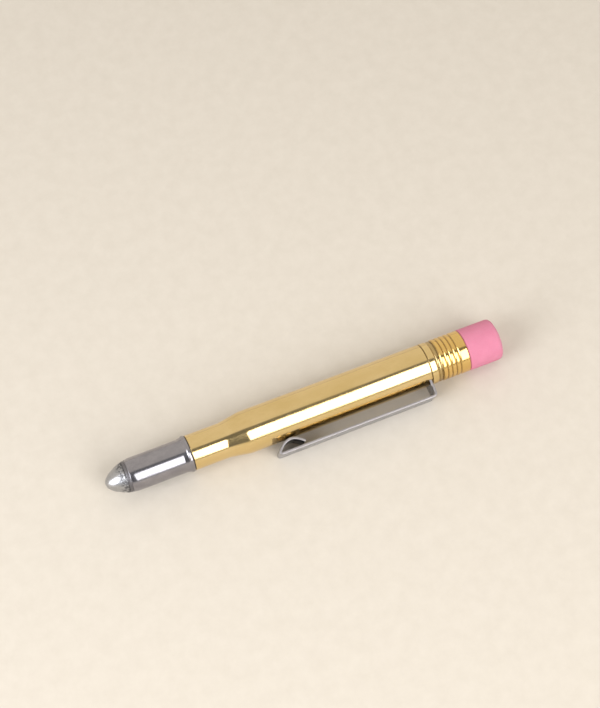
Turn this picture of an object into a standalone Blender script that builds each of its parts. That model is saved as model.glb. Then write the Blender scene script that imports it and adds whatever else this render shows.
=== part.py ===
"""Bullet pencil: a brass barrel that stores a short wooden pencil, point inward, in a domed metal holder.

Frame: metres, +Z up. The pencil lies on z = 0 with its long axis along X, the dome at -X and the eraser at +X. The
clip lies towards -Y and leans down until its lower edge nearly meets the surface. The origin is under the middle of
the bounding box. Stations along the object are measured from the tip of the dome towards the eraser.
"""

import math

import bmesh
import bpy
from mathutils import Matrix, Vector

MM = 0.001

# ---------------------------------------------------------------- driving dimensions, mm
LENGTH = 105.0  # tip of the dome to the end of the eraser
SEGMENTS = 32  # sides of a turned piece
FIT = 0.05  # gap between pieces that sit against each other

BODY_R = 5.40  # barrel, collar and ferrule
NECK_R = 4.50
BORE_R = 4.27  # straight bore of the barrel
MOUTH = 22.0  # front edge of the barrel
SHOULDER = (31.0, 36.4)  # start and end of the conical shoulder
BARREL_END = 85.2
BORE_END = 78.7  # where the bore steps down to the tapped hole
COUNTERBORE_R = 5.05
COUNTERBORE = 84.15  # floor of the recess for the clip's ring

THREAD_PITCH = 1.0
THREAD_R = 3.73  # mean radius of the spigot's thread
THREAD_HEIGHT = 0.22  # half of crest to root
THREAD_CLEARANCE = 0.12
THREAD_SPAN = (80.0, 83.5)
TAPPED_SPAN = (79.0, 84.0)
SPIGOT_START = 79.4

DOME_END = 5.02
DOME_SCALE, DOME_POWER = 1.84, 0.465  # radius = scale * station ** power
SLEEVE_START = 5.10
BEAD_R = 3.97
SLEEVE_GROOVE = 5.86
TUBE_START = 7.7
TUBE_R = 4.23
TUBE_END = 19.75
FLANGE_R = 4.70
FLANGE = (20.7, 21.9)
PLUG_R = 4.17
PLUG_END = 33.0
SLEEVE_BORE_R = 3.50
SLIT_WIDTH = 0.5
SLIT_START = 26.0

PENCIL_R = 3.42
PENCIL_BACK = 7.0
PENCIL_SHOULDER = 62.0  # where the sharpened cone starts
LEAD_R = 1.05
LEAD_SHOULDER = 70.6
PENCIL_TIP = 74.0
GLUE_GAP = 0.04

COLLAR = (85.3, 87.1)  # joint line and the groove behind the collar
BEAD = (87.4, 88.05)  # the narrow bead next to the ferrule
STUB_R = 5.00
STUB_END = 89.8
FERRULE = (88.35, 95.75)
FERRULE_BORE_R = 5.08
FERRULE_GROOVES = (89.64, 90.82, 92.05, 93.25)
FERRULE_GROOVE_DEPTH = 0.21
FERRULE_GROOVE_HALF = 0.34
ERASER_R = 5.38
ERASER_FIT_R = 5.02
ERASER_START = 89.9
ERASER_EDGE = 1.15  # radius of the worn end edge

CLIP_T = 0.60
CLIP_W = 5.8
CLIP_ARM_R = 8.56  # distance of the arm's middle line from the axis
CLIP_FRONT = 42.6
CLIP_LEG = 84.50  # middle of the leg's thickness
CLIP_FOOT_R = 5.56  # where the leg leaves the ring's tab
CLIP_BEND = 0.75
CLIP_TIP = 6.8  # from the front end back to the tip of the curl
RING_R = (4.05, 4.97)
TAB_END_R = 5.46
NOTCH_CLEARANCE = 0.1

# The clip leans down until its lower outer corner is just above the surface.
_reach = math.hypot(CLIP_ARM_R + CLIP_T / 2, CLIP_W / 2)
_corner = math.atan2(CLIP_W / 2, CLIP_ARM_R + CLIP_T / 2)
CLIP_LEAN = math.asin((BODY_R - 0.04) / _reach) - _corner

# The middle of the bounding box across the object, from the axis.
_far = (CLIP_ARM_R + CLIP_T / 2) * math.cos(CLIP_LEAN) + CLIP_W / 2 * math.sin(CLIP_LEAN)
AXIS_Y = (_far - BODY_R) / 2

for stale in list(bpy.data.objects):
    bpy.data.objects.remove(stale, do_unlink=True)

pencil = bpy.data.collections.new("bullet_pencil")
cutters = bpy.data.collections.new("cutters")
bpy.context.scene.collection.children.link(pencil)
bpy.context.scene.collection.children.link(cutters)
cutters.hide_render = True


def principled(name, colour, metallic, roughness):
    material = bpy.data.materials.new(name)
    material.use_nodes = True
    shader = material.node_tree.nodes["Principled BSDF"]
    shader.inputs["Base Color"].default_value = (*colour, 1.0)
    shader.inputs["Metallic"].default_value = metallic
    shader.inputs["Roughness"].default_value = roughness
    return material


# The axis: an empty whose local Z runs along the pencil, from the tip of the dome.
axis = bpy.data.objects.new("pencil_axis", None)
axis.empty_display_size = 0.01
axis.location = (-LENGTH / 2 * MM, AXIS_Y * MM, BODY_R * MM)
axis.rotation_euler = (0.0, math.pi / 2, 0.0)
pencil.objects.link(axis)

# In the axis frame, local X points down and local Y is world Y.
OUT = Vector((math.sin(CLIP_LEAN), -math.cos(CLIP_LEAN), 0.0))  # the clip's direction from the axis
ALONG = Vector((0.0, 0.0, 1.0))
SIDE = ALONG.cross(OUT)


def carrier(name, station=0.0, out=0.0):
    """An empty on a joint's axis, at a station and a distance towards the clip."""
    empty = bpy.data.objects.new(name, None)
    empty.empty_display_size = 0.005
    empty.parent = axis
    empty.location = OUT * (out * MM) + ALONG * (station * MM)
    pencil.objects.link(empty)
    return empty


def merged(points, least=1e-6):
    kept = []
    for point in points:
        if not kept or (Vector(point) - Vector(kept[-1])).length > least:
            kept.append(point)
    return kept


def turned(name, profile, material, parent=None, collection=None, segments=SEGMENTS):
    """A profile of (radius, station) in mm, turned about the axis. It runs along the outside towards the dome, then
    back along the inside; a solid piece starts and ends on the axis."""
    mesh = bpy.data.meshes.new(name)
    points = [(r * MM, 0.0, s * MM) for r, s in merged(profile, 1e-4)]
    closed = profile[0][0] > 0 and profile[-1][0] > 0
    edges = [(i, i + 1) for i in range(len(points) - 1)]
    if closed:
        edges.append((len(points) - 1, 0))
    mesh.from_pydata(points, edges, [])
    obj = bpy.data.objects.new(name, mesh)
    (collection or pencil).objects.link(obj)
    screw = obj.modifiers.new("turn", "SCREW")
    screw.axis = "Z"
    screw.steps = screw.render_steps = segments
    screw.use_merge_vertices = True
    screw.merge_threshold = 1e-6
    screw.use_smooth_shade = True
    mesh.materials.append(material)
    obj.parent = parent or axis
    return obj


def realised(obj):
    """The object with its modifiers applied, on its own mesh."""
    bpy.context.view_layer.update()
    graph = bpy.context.evaluated_depsgraph_get()
    mesh = bpy.data.meshes.new_from_object(obj.evaluated_get(graph))
    obj.modifiers.clear()
    old, obj.data = obj.data, mesh
    bpy.data.meshes.remove(old)
    mesh.name = obj.name
    return obj


def threaded(obj, span, mean, height, ends):
    """Moves the points near the mean radius, within the span, in and out along a right-hand helix. Towards both ends
    the thread runs out, to its root on a shaft (ends -1) and to its full depth in a hole (ends +1)."""
    run = THREAD_PITCH / 2
    for vertex in obj.data.vertices:
        radius = math.hypot(vertex.co.x, vertex.co.y) / MM
        station = vertex.co.z / MM
        if not span[0] - 1e-3 <= station <= span[1] + 1e-3 or abs(radius - mean) > 0.01:
            continue
        turn = math.atan2(vertex.co.y, vertex.co.x)
        fade = max(0.0, min(1.0, (station - span[0]) / run, (span[1] - station) / run))
        wave = math.cos(2 * math.pi * (station - TAPPED_SPAN[0]) / THREAD_PITCH - turn)
        scale = (radius + height * (fade * wave + (1 - fade) * ends)) / radius
        vertex.co.x *= scale
        vertex.co.y *= scale
    return obj


def rings(radius, start, end, step=THREAD_PITCH / 6):
    """Stations from start to end at one radius, close enough together to carry a thread."""
    count = max(1, round(abs(end - start) / step))
    return [(radius, start + (end - start) * i / count) for i in range(count + 1)]


def box_cutter(name, size, matrix):
    mesh = bpy.data.meshes.new(name)
    shape = bmesh.new()
    bmesh.ops.create_cube(shape, size=1.0, matrix=Matrix.Diagonal((*[side * MM for side in size], 1.0)))
    shape.to_mesh(mesh)
    shape.free()
    obj = bpy.data.objects.new(name, mesh)
    obj.hide_render = True
    obj.display_type = "WIRE"
    cutters.objects.link(obj)
    obj.parent = axis
    obj.matrix_local = matrix
    return obj


def frame_at(station, out, side, x_axis, y_axis):
    """A placement in the axis frame from a station, offsets in mm and two directions."""
    z_axis = x_axis.cross(y_axis)
    matrix = Matrix((x_axis, y_axis, z_axis)).transposed().to_4x4()
    matrix.translation = ALONG * (station * MM) + OUT * (out * MM) + SIDE * (side * MM)
    return matrix


def cut(obj, cutter, operation="DIFFERENCE"):
    boolean = obj.modifiers.new(operation.lower() + "_" + cutter.name, "BOOLEAN")
    boolean.operation = operation
    boolean.object = cutter
    boolean.solver = "EXACT"
    return obj


def smooth(obj, angle=35.0):
    obj.data.shade_smooth()
    obj.data.set_sharp_from_angle(angle=math.radians(angle))
    return obj


brass = principled("polished_brass", (0.83, 0.60, 0.24), 1.0, 0.12)
nickel = principled("satin_nickel", (0.36, 0.36, 0.38), 1.0, 0.32)
dome_metal = principled("cast_dome_metal", (0.62, 0.62, 0.63), 1.0, 0.42)
spring_steel = principled("spring_steel", (0.55, 0.55, 0.57), 1.0, 0.28)
pink_rubber = principled("pink_rubber", (0.90, 0.30, 0.45), 0.0, 0.75)
cedar = principled("cedar", (0.55, 0.30, 0.16), 0.0, 0.65)
graphite = principled("graphite", (0.06, 0.06, 0.07), 0.0, 0.45)


# ---------------------------------------------------------------- barrel
def barrel_profile():
    """Outside from the rear edge to the mouth, then back through the bore, the tapped hole and the recess."""
    edge = 0.16
    outside = [
        (BODY_R - edge, BARREL_END),
        (BODY_R, BARREL_END - edge),
        (BODY_R, SHOULDER[1] + 0.5),
        (BODY_R - 0.04, SHOULDER[1]),
        (NECK_R + 0.05, SHOULDER[0] + 0.25),
        (NECK_R, SHOULDER[0] - 0.25),
        (NECK_R, MOUTH + 0.08),
        (NECK_R - 0.07, MOUTH),
    ]
    mean = THREAD_R + THREAD_CLEARANCE
    inside = [
        (BORE_R, MOUTH),
        (BORE_R, BORE_END),
        (mean + THREAD_HEIGHT, BORE_END + 0.15),
        *rings(mean, *TAPPED_SPAN),
        (mean + THREAD_HEIGHT, COUNTERBORE),
        (COUNTERBORE_R, COUNTERBORE),
        (COUNTERBORE_R, BARREL_END),
    ]
    return outside + inside


barrel = realised(turned("barrel", barrel_profile(), brass))
threaded(barrel, TAPPED_SPAN, THREAD_R + THREAD_CLEARANCE, THREAD_HEIGHT, 1)
smooth(barrel)
notch_depth = BARREL_END - COUNTERBORE + 1.0
cut(
    barrel,
    box_cutter(
        "clip_notch",
        (notch_depth, 3.6, CLIP_W + 2 * NOTCH_CLEARANCE),
        frame_at(COUNTERBORE + 0.001 + notch_depth / 2, BODY_R + 0.1, 0.0, ALONG, OUT),
    ),
)


# ---------------------------------------------------------------- pencil holder: dome and sleeve
def dome_profile():
    fit = SLEEVE_BORE_R - 0.08
    back = PENCIL_BACK - 0.2
    points = [(fit - 0.1, back), (fit, back - 0.1), (fit, DOME_END)]
    base = DOME_SCALE * DOME_END**DOME_POWER
    points += [(base - 0.15, DOME_END), (base - 0.02, DOME_END - 0.12)]
    steps = 9
    for i in range(1, steps):
        station = (DOME_END - 0.12) * (1 - i / steps) ** 1.8
        points.append((DOME_SCALE * station**DOME_POWER, station))
    return [(0.0, back)] + points + [(0.0, 0.0)]


holder_carrier = carrier("holder_carrier")
nose_cap = smooth(realised(turned("nose_cap", dome_profile(), dome_metal, holder_carrier)))


def sleeve_profile():
    """Outside from the slit plug end, over the flange and the ogive to the bead, then back through the bore."""
    points = [(PLUG_R - 0.15, PLUG_END), (PLUG_R, PLUG_END - 0.3), (PLUG_R, FLANGE[1])]
    points += [
        (FLANGE_R - 0.18, FLANGE[1]),
        (FLANGE_R, FLANGE[1] - 0.2),
        (FLANGE_R, FLANGE[0] + 0.2),
        (FLANGE_R - 0.14, FLANGE[0]),
    ]
    for i in range(1, 4):
        part = i / 3
        points.append(
            (TUBE_R + (FLANGE_R - 0.14 - TUBE_R) * (1 - part) ** 2.2, FLANGE[0] + (TUBE_END - FLANGE[0]) * part)
        )
    points.append((TUBE_R, TUBE_START))
    start_r = 4.03
    for i in range(1, 4):
        part = i / 3
        points.append((TUBE_R - (TUBE_R - start_r) * part**1.8, TUBE_START + (SLEEVE_GROOVE + 0.12 - TUBE_START) * part))
    points += [
        (3.80, SLEEVE_GROOVE),
        (BEAD_R - 0.02, SLEEVE_GROOVE - 0.16),
        (BEAD_R, SLEEVE_GROOVE - 0.4),
        (BEAD_R - 0.12, SLEEVE_START),
        (SLEEVE_BORE_R, SLEEVE_START),
        (SLEEVE_BORE_R, PLUG_END),
    ]
    return points


holder_sleeve = smooth(realised(turned("holder_sleeve", sleeve_profile(), nickel, holder_carrier)))
slit_length = PLUG_END - SLIT_START + 1.0
for number, (first, second) in enumerate(((ALONG, OUT), (ALONG, SIDE))):
    cut(
        holder_sleeve,
        box_cutter(
            f"grip_slit_{number + 1}",
            (slit_length, 12.0, SLIT_WIDTH),
            frame_at(SLIT_START + slit_length / 2, 0.0, 0.0, first, second),
        ),
    )

# ---------------------------------------------------------------- the wooden pencil
pencil_carrier = carrier("pencil_carrier")
CORE_R = LEAD_R + GLUE_GAP
slope = (PENCIL_R - CORE_R - 0.06) / (LEAD_SHOULDER - PENCIL_SHOULDER)
wood_profile = [
    (PENCIL_R, PENCIL_BACK),
    (CORE_R, PENCIL_BACK),
    (CORE_R, LEAD_SHOULDER),
    (CORE_R + 0.06, LEAD_SHOULDER),
    (PENCIL_R, PENCIL_SHOULDER),
]
for name, side in (("pencil_slat_upper", 1.0), ("pencil_slat_lower", -1.0)):
    slat = turned(name, wood_profile, cedar, pencil_carrier)
    length = PENCIL_TIP - PENCIL_BACK + 4
    placement = Matrix.Translation((side * (5.0 - GLUE_GAP / 2) * MM, 0.0, (PENCIL_TIP + PENCIL_BACK) / 2 * MM))
    cut(smooth(realised(slat)), box_cutter(name + "_cutter", (10.0, 20.0, length), placement))

lead_profile = [
    (0.0, PENCIL_TIP),
    (0.12, PENCIL_TIP - 0.1),
    (LEAD_R, LEAD_SHOULDER),
    (LEAD_R, PENCIL_BACK),
    (0.0, PENCIL_BACK),
]
graphite_lead = smooth(realised(turned("graphite_lead", lead_profile, graphite, pencil_carrier)))

# ---------------------------------------------------------------- clip: ring, leg, arm and curl
clip_carrier = carrier("clip_carrier")


def flat_outline(name, loops, thickness, material, parent):
    """Closed 2D outlines in mm, filled and extruded to a thickness, as a mesh with its caps welded."""
    curve = bpy.data.curves.new(name, "CURVE")
    curve.dimensions = "2D"
    curve.fill_mode = "BOTH"
    curve.extrude = thickness / 2 * MM
    for loop in loops:
        spline = curve.splines.new("POLY")
        spline.points.add(len(loop) - 1)
        for point, (x, y) in zip(spline.points, loop):
            point.co = (x * MM, y * MM, 0.0, 1.0)
        spline.use_cyclic_u = True
    drawn = bpy.data.objects.new(name + "_outline", curve)
    pencil.objects.link(drawn)
    bpy.context.view_layer.update()
    graph = bpy.context.evaluated_depsgraph_get()
    mesh = bpy.data.meshes.new_from_object(drawn.evaluated_get(graph))
    shape = bmesh.new()
    shape.from_mesh(mesh)
    bmesh.ops.remove_doubles(shape, verts=shape.verts, dist=1e-7)
    bmesh.ops.recalc_face_normals(shape, faces=shape.faces)
    shape.to_mesh(mesh)
    shape.free()
    bpy.data.objects.remove(drawn, do_unlink=True)
    bpy.data.curves.remove(curve)
    mesh.name = name
    mesh.materials.clear()
    mesh.materials.append(material)
    obj = bpy.data.objects.new(name, mesh)
    pencil.objects.link(obj)
    obj.parent = parent
    return obj


def ring_outline():
    """The ring with a straight tab; the tab leaves the circle where it is as wide as the clip."""
    meet = math.asin(CLIP_W / 2 / RING_R[1])
    steps = 28
    points = [
        (
            RING_R[1] * math.cos(meet + (2 * math.pi - 2 * meet) * i / steps),
            RING_R[1] * math.sin(meet + (2 * math.pi - 2 * meet) * i / steps),
        )
        for i in range(steps + 1)
    ]
    return points + [(TAB_END_R, -CLIP_W / 2), (TAB_END_R, CLIP_W / 2)]


hole = [
    (RING_R[0] * math.cos(2 * math.pi * i / SEGMENTS), RING_R[0] * math.sin(2 * math.pi * i / SEGMENTS))
    for i in range(SEGMENTS)
]
clip_ring = flat_outline("clip_ring", [ring_outline(), hole], CLIP_T, spring_steel, clip_carrier)
clip_ring.matrix_local = frame_at(CLIP_LEG, 0.0, 0.0, OUT, SIDE)


def clip_line():
    """The strip's middle line as (station, distance from the axis): foot, bowed leg, bend, arm, fold and curl."""
    line = []
    for i in range(6):  # the leg, bowed a little towards the eraser
        part = i / 5
        out = CLIP_FOOT_R + (CLIP_ARM_R - CLIP_BEND - CLIP_FOOT_R) * part
        line.append((CLIP_LEG + 0.12 * math.sin(math.pi * 0.8 * part), out))
    lean = line[-1][0]
    for i in range(1, 7):  # the bend into the arm
        angle = math.pi / 2 * i / 6
        line.append((lean - CLIP_BEND + CLIP_BEND * math.cos(angle), CLIP_ARM_R - CLIP_BEND + CLIP_BEND * math.sin(angle)))
    top = BODY_R + 0.16 + CLIP_T / 2  # the curl's crest just clears the barrel
    fold = 0.42
    line.append((CLIP_FRONT + fold + 0.6, CLIP_ARM_R))
    for i in range(8):  # the sharp fold at the front end
        angle = math.radians(90 + 128 * i / 7)
        line.append((CLIP_FRONT + fold + fold * math.cos(angle), CLIP_ARM_R - fold + fold * math.sin(angle)))
    start_station, start_out = line[-1]
    crest = CLIP_FRONT + 3.6
    steps = 8
    for i in range(1, steps + 1):  # up to the crest, which touches the barrel
        part = 1 - i / steps
        line.append((crest - (crest - start_station) * part, top + (start_out - top) * part**2))
    tip_station, tip_out = CLIP_FRONT + CLIP_TIP, CLIP_ARM_R - 0.95
    for i in range(1, steps + 1):  # and down to the tip
        part = i / steps
        line.append((crest + (tip_station - crest) * part, top + (tip_out - top) * part**1.8))
    return line


def strip(line, thickness):
    """Both sides of a strip of even thickness about a line."""
    left, right = [], []
    for i, point in enumerate(line):
        before, after = line[max(0, i - 1)], line[min(len(line) - 1, i + 1)]
        run = Vector((after[0] - before[0], after[1] - before[1])).normalized()
        here = Vector(point)
        normal = Vector((-run.y, run.x)) * thickness / 2
        left.append(tuple(here + normal))
        right.append(tuple(here - normal))
    return left + right[::-1]


clip_arm_carrier = carrier("clip_arm_carrier", CLIP_LEG, CLIP_FOOT_R)
clip_arm = flat_outline("clip_arm", [strip(clip_line(), CLIP_T)], CLIP_W, spring_steel, clip_arm_carrier)
# The arm's own origin is the joint: its outline is shifted so that the foot of the leg is at zero.
clip_arm.data.transform(Matrix.Translation((-CLIP_LEG * MM, -CLIP_FOOT_R * MM, 0.0)))
clip_arm.matrix_local = frame_at(0.0, 0.0, 0.0, ALONG, OUT)
smooth(clip_arm, 30.0)
smooth(clip_ring, 30.0)

# ---------------------------------------------------------------- end plug, ferrule and eraser
plug_carrier = carrier("end_cap_carrier", COLLAR[0])


def plug_profile():
    """Outside from the stub inside the ferrule to the spigot's end; the plug is solid."""
    pilot = CLIP_LEG + CLIP_T / 2 + FIT
    middle = (BEAD[0] + BEAD[1]) / 2
    points = [
        (0.0, STUB_END),
        (STUB_R - 0.1, STUB_END),
        (STUB_R, STUB_END - 0.1),
        (STUB_R, BEAD[1] + 0.15),
        (STUB_R + 0.20, BEAD[1]),
        (STUB_R + 0.28, middle),
        (STUB_R + 0.20, BEAD[0]),
        (STUB_R + 0.04, COLLAR[1] + 0.13),
        (STUB_R + 0.18, COLLAR[1]),
        (BODY_R - 0.07, COLLAR[1] - 0.5),
        (BODY_R, COLLAR[1] - 1.0),
        (BODY_R, COLLAR[0] + 0.16),
        (BODY_R - 0.16, COLLAR[0]),
        (COUNTERBORE_R - 0.1, COLLAR[0]),
        (COUNTERBORE_R - 0.1, pilot),
        (THREAD_R + THREAD_HEIGHT - 0.05, pilot),
        (THREAD_R + THREAD_HEIGHT - 0.05, CLIP_LEG - CLIP_T / 2),
        *rings(THREAD_R, THREAD_SPAN[1], THREAD_SPAN[0]),
        (THREAD_R - THREAD_HEIGHT, SPIGOT_START + 0.25),
        (THREAD_R - THREAD_HEIGHT - 0.25, SPIGOT_START),
        (0.0, SPIGOT_START),
    ]
    return [(r, s - COLLAR[0]) for r, s in points]


end_plug = realised(turned("end_plug", plug_profile(), brass, plug_carrier))
end_plug.data.transform(Matrix.Translation((0.0, 0.0, COLLAR[0] * MM)))
threaded(end_plug, THREAD_SPAN, THREAD_R, THREAD_HEIGHT, -1)
end_plug.data.transform(Matrix.Translation((0.0, 0.0, -COLLAR[0] * MM)))
smooth(end_plug)


def ferrule_profile():
    """Outside from the eraser's end to the collar, with rolled grooves, then back through the bore."""
    start, end = FERRULE
    points = [(BODY_R - 0.1, end), (BODY_R, end - 0.12)]
    for middle in sorted(FERRULE_GROOVES, reverse=True):
        for i in range(5):
            part = -1 + i / 2
            depth = FERRULE_GROOVE_DEPTH * 0.5 * (1 + math.cos(math.pi * part))
            points.append((BODY_R - depth, middle - FERRULE_GROOVE_HALF * part))
    points += [
        (BODY_R, start + 0.42),
        (BODY_R - 0.06, start + 0.2),
        (BODY_R - 0.2, start),
        (FERRULE_BORE_R, start),
        (FERRULE_BORE_R, end),
    ]
    return [(r, s - COLLAR[0]) for r, s in points]


eraser_ferrule = smooth(realised(turned("eraser_ferrule", ferrule_profile(), brass, plug_carrier)), 50.0)

eraser_carrier = carrier("eraser_carrier", FERRULE[1])


def eraser_profile():
    points = [(0.0, LENGTH)]
    for i in range(6):
        angle = math.radians(90 - 90 * i / 5)
        points.append((ERASER_R - ERASER_EDGE + ERASER_EDGE * math.cos(angle), LENGTH - ERASER_EDGE + ERASER_EDGE * math.sin(angle)))
    points += [
        (ERASER_R, FERRULE[1] + 0.45),
        (ERASER_R - 0.08, FERRULE[1] + 0.15),
        (ERASER_FIT_R, FERRULE[1] + 0.05),
        (ERASER_FIT_R, ERASER_START + 0.2),
        (ERASER_FIT_R - 0.2, ERASER_START),
        (0.0, ERASER_START),
    ]
    return [(r, s - FERRULE[1]) for r, s in points]


eraser = smooth(realised(turned("eraser", eraser_profile(), pink_rubber, eraser_carrier)), 50.0)
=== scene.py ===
import math

import bmesh
import bpy
import numpy as np
from mathutils import Matrix, Vector


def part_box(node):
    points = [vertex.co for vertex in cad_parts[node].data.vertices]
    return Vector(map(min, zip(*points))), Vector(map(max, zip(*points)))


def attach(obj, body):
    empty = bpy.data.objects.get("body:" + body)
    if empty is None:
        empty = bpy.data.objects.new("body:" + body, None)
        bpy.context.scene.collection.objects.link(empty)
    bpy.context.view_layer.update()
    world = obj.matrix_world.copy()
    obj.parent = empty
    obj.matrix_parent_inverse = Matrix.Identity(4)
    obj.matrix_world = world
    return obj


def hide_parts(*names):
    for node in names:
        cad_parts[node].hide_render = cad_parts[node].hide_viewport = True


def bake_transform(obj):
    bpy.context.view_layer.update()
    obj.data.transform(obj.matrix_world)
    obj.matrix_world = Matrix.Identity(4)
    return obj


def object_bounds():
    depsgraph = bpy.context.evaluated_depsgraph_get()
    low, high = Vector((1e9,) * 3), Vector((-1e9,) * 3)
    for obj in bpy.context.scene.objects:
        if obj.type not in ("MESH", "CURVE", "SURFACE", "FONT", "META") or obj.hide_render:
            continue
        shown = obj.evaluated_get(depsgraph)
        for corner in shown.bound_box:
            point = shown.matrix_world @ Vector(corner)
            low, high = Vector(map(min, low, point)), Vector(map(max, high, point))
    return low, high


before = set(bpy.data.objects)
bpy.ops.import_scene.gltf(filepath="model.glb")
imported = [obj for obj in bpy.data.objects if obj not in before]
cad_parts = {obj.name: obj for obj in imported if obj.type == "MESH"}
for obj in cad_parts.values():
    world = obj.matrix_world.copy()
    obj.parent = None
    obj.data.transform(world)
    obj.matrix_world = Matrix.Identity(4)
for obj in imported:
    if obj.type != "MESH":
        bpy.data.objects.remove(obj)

# ---------------------------------------------------------------- the frame
MM = 0.001
CAD_BOX = [list(map(float, corner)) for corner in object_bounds()]

_low, _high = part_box("barrel")
AXIS_Y = (_low.y + _high.y) / 2 / MM
AXIS_Z = (_low.z + _high.z) / 2 / MM
TIP_X = CAD_BOX[0][0] / MM  # stations are mm from the tip of the dome

BODY_R = (_high.z - _low.z) / 2 / MM
NECK_R = 4.50
BORE_R = 4.27
MOUTH = _low.x / MM - TIP_X
BARREL_END = _high.x / MM - TIP_X
SHOULDER = (31.0, 36.4)
BORE_END = 78.7
COUNTERBORE_R = 5.05
COUNTERBORE = 84.15
THREAD_PITCH, THREAD_R, THREAD_HEIGHT, THREAD_CLEARANCE = 1.0, 3.73, 0.22, 0.12
THREAD_SPAN = (80.0, 83.5)
TAPPED_SPAN = (79.0, 84.0)
SPIGOT_START = 79.4

PLUG_R, PLUG_END = 4.17, 33.0
TUBE_R, FLANGE_R = 4.23, 4.70
SLEEVE_BORE_R = 3.50
SLEEVE_START = 5.10
DOME_END = 5.02
PENCIL_R, PENCIL_BACK, PENCIL_SHOULDER = 3.42, 7.0, 62.0
LEAD_R, LEAD_SHOULDER, PENCIL_TIP = 1.05, 70.6, 74.0

COLLAR = (85.3, 87.1)
BEAD = (87.4, 88.05)
STUB_R, STUB_END = 5.00, 89.8
FERRULE = (88.35, 95.75)
FERRULE_BORE_R = 5.08
GROOVES = (89.64, 90.82, 92.05, 93.25)
ERASER_R, ERASER_FIT_R, ERASER_START = 5.38, 5.02, 89.9
LENGTH = CAD_BOX[1][0] / MM - TIP_X

CLIP_T, CLIP_W = 0.60, 5.8
CLIP_ARM_R = 8.56
CLIP_FRONT, CLIP_LEG, CLIP_FOOT_R = 42.6, 84.50, 5.56
CLIP_CREST, CLIP_TIP = 46.2, 49.4

_reach = math.hypot(CLIP_ARM_R + CLIP_T / 2, CLIP_W / 2)
_corner = math.atan2(CLIP_W / 2, CLIP_ARM_R + CLIP_T / 2)
LEAN = math.asin((BODY_R - 0.04) / _reach) - _corner
OUT = Vector((0.0, -math.cos(LEAN), -math.sin(LEAN)))  # towards the clip, in the row frame
ALONG = Vector((1.0, 0.0, 0.0))
SIDE = ALONG.cross(OUT)


def at(station, out=0.0, side=0.0):
    """A point in metres from a station, and offsets in mm towards the clip and across it."""
    return (Vector((TIP_X + station, AXIS_Y, AXIS_Z)) + OUT * out + SIDE * side) * MM


# ---------------------------------------------------------------- shapes
def rounded(points, count=5):
    """A path of (station, radius[, fillet]) with its corners rounded."""
    found = []
    for i, point in enumerate(points):
        fillet = point[2] if len(point) > 2 else 0.0
        here = Vector(point[:2])
        if not fillet or i in (0, len(points) - 1):
            found.append(tuple(here))
            continue
        before = Vector(points[i - 1][:2]) - here
        after = Vector(points[i + 1][:2]) - here
        a = here + before.normalized() * min(fillet, before.length * 0.49)
        b = here + after.normalized() * min(fillet, after.length * 0.49)
        for k in range(count + 1):
            t = k / count
            found.append(tuple(a * (1 - t) ** 2 + here * 2 * t * (1 - t) + b * t**2))
    return found


def dense(points, step):
    """The path with no run longer than step."""
    found = [points[0]]
    for a, b in zip(points, points[1:]):
        count = max(1, math.ceil(math.hypot(b[0] - a[0], b[1] - a[1]) / step))
        for k in range(1, count + 1):
            found.append((a[0] + (b[0] - a[0]) * k / count, a[1] + (b[1] - a[1]) * k / count))
    return found


def lathe(name, path, segments=160, wobble=0.0, seed=0.0, thread=None):
    """A path of (station, radius) turned about the axis. A path that starts or ends at radius 0 closes there; one
    that doesn't is a ring, and its two ends are joined."""
    kept = [path[0]]
    for point in path[1:]:
        if math.hypot(point[0] - kept[-1][0], point[1] - kept[-1][1]) > 1e-4:
            kept.append(point)
    ring = kept[0][1] > 1e-6 and kept[-1][1] > 1e-6
    shape = bmesh.new()
    rows = []
    for station, radius in kept:
        if radius < 1e-6:
            rows.append([shape.verts.new(at(station))])
            continue
        row = []
        for k in range(segments):
            turn = 2 * math.pi * k / segments
            r = radius
            if wobble:
                r += wobble * (
                    math.sin(3 * turn + 1.3 * station + seed) * 0.5 + math.sin(7 * turn - 2.1 * station + seed * 2) * 0.3
                )
            if thread and thread[0] - 1e-3 <= station <= thread[1] + 1e-3 and abs(radius - thread[2]) < 0.01:
                fade = max(0.0, min(1.0, (station - thread[0]) * 2, (thread[1] - station) * 2))
                wave = math.cos(2 * math.pi * (station - TAPPED_SPAN[0]) / THREAD_PITCH + turn)
                r += THREAD_HEIGHT * (fade * wave + (1 - fade) * thread[3])
            row.append(
                shape.verts.new(
                    Vector((TIP_X + station, AXIS_Y + r * math.sin(turn), AXIS_Z + r * math.cos(turn))) * MM
                )
            )
        rows.append(row)
    pairs = list(zip(rows, rows[1:]))
    if ring:
        pairs.append((rows[-1], rows[0]))
    for first, second in pairs:
        for k in range(segments):
            n = (k + 1) % segments
            if len(first) == 1 and len(second) == 1:
                continue
            if len(first) == 1:
                shape.faces.new((first[0], second[n], second[k]))
            elif len(second) == 1:
                shape.faces.new((first[k], first[n], second[0]))
            else:
                shape.faces.new((first[k], first[n], second[n], second[k]))
    return finished(name, shape)


def finished(name, shape):
    """The shape as an object, its faces turned outwards."""
    bmesh.ops.recalc_face_normals(shape, faces=shape.faces)
    mesh = bpy.data.meshes.new(name)
    shape.to_mesh(mesh)
    shape.free()
    obj = bpy.data.objects.new(name, mesh)
    bpy.context.scene.collection.objects.link(obj)
    return obj


def smooth(obj, angle=32.0):
    obj.data.shade_smooth()
    obj.data.set_sharp_from_angle(angle=math.radians(angle))
    return obj


def realised(obj):
    bpy.context.view_layer.update()
    graph = bpy.context.evaluated_depsgraph_get()
    mesh = bpy.data.meshes.new_from_object(obj.evaluated_get(graph))
    obj.modifiers.clear()
    obj.data = mesh
    mesh.name = obj.name
    return obj


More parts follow.
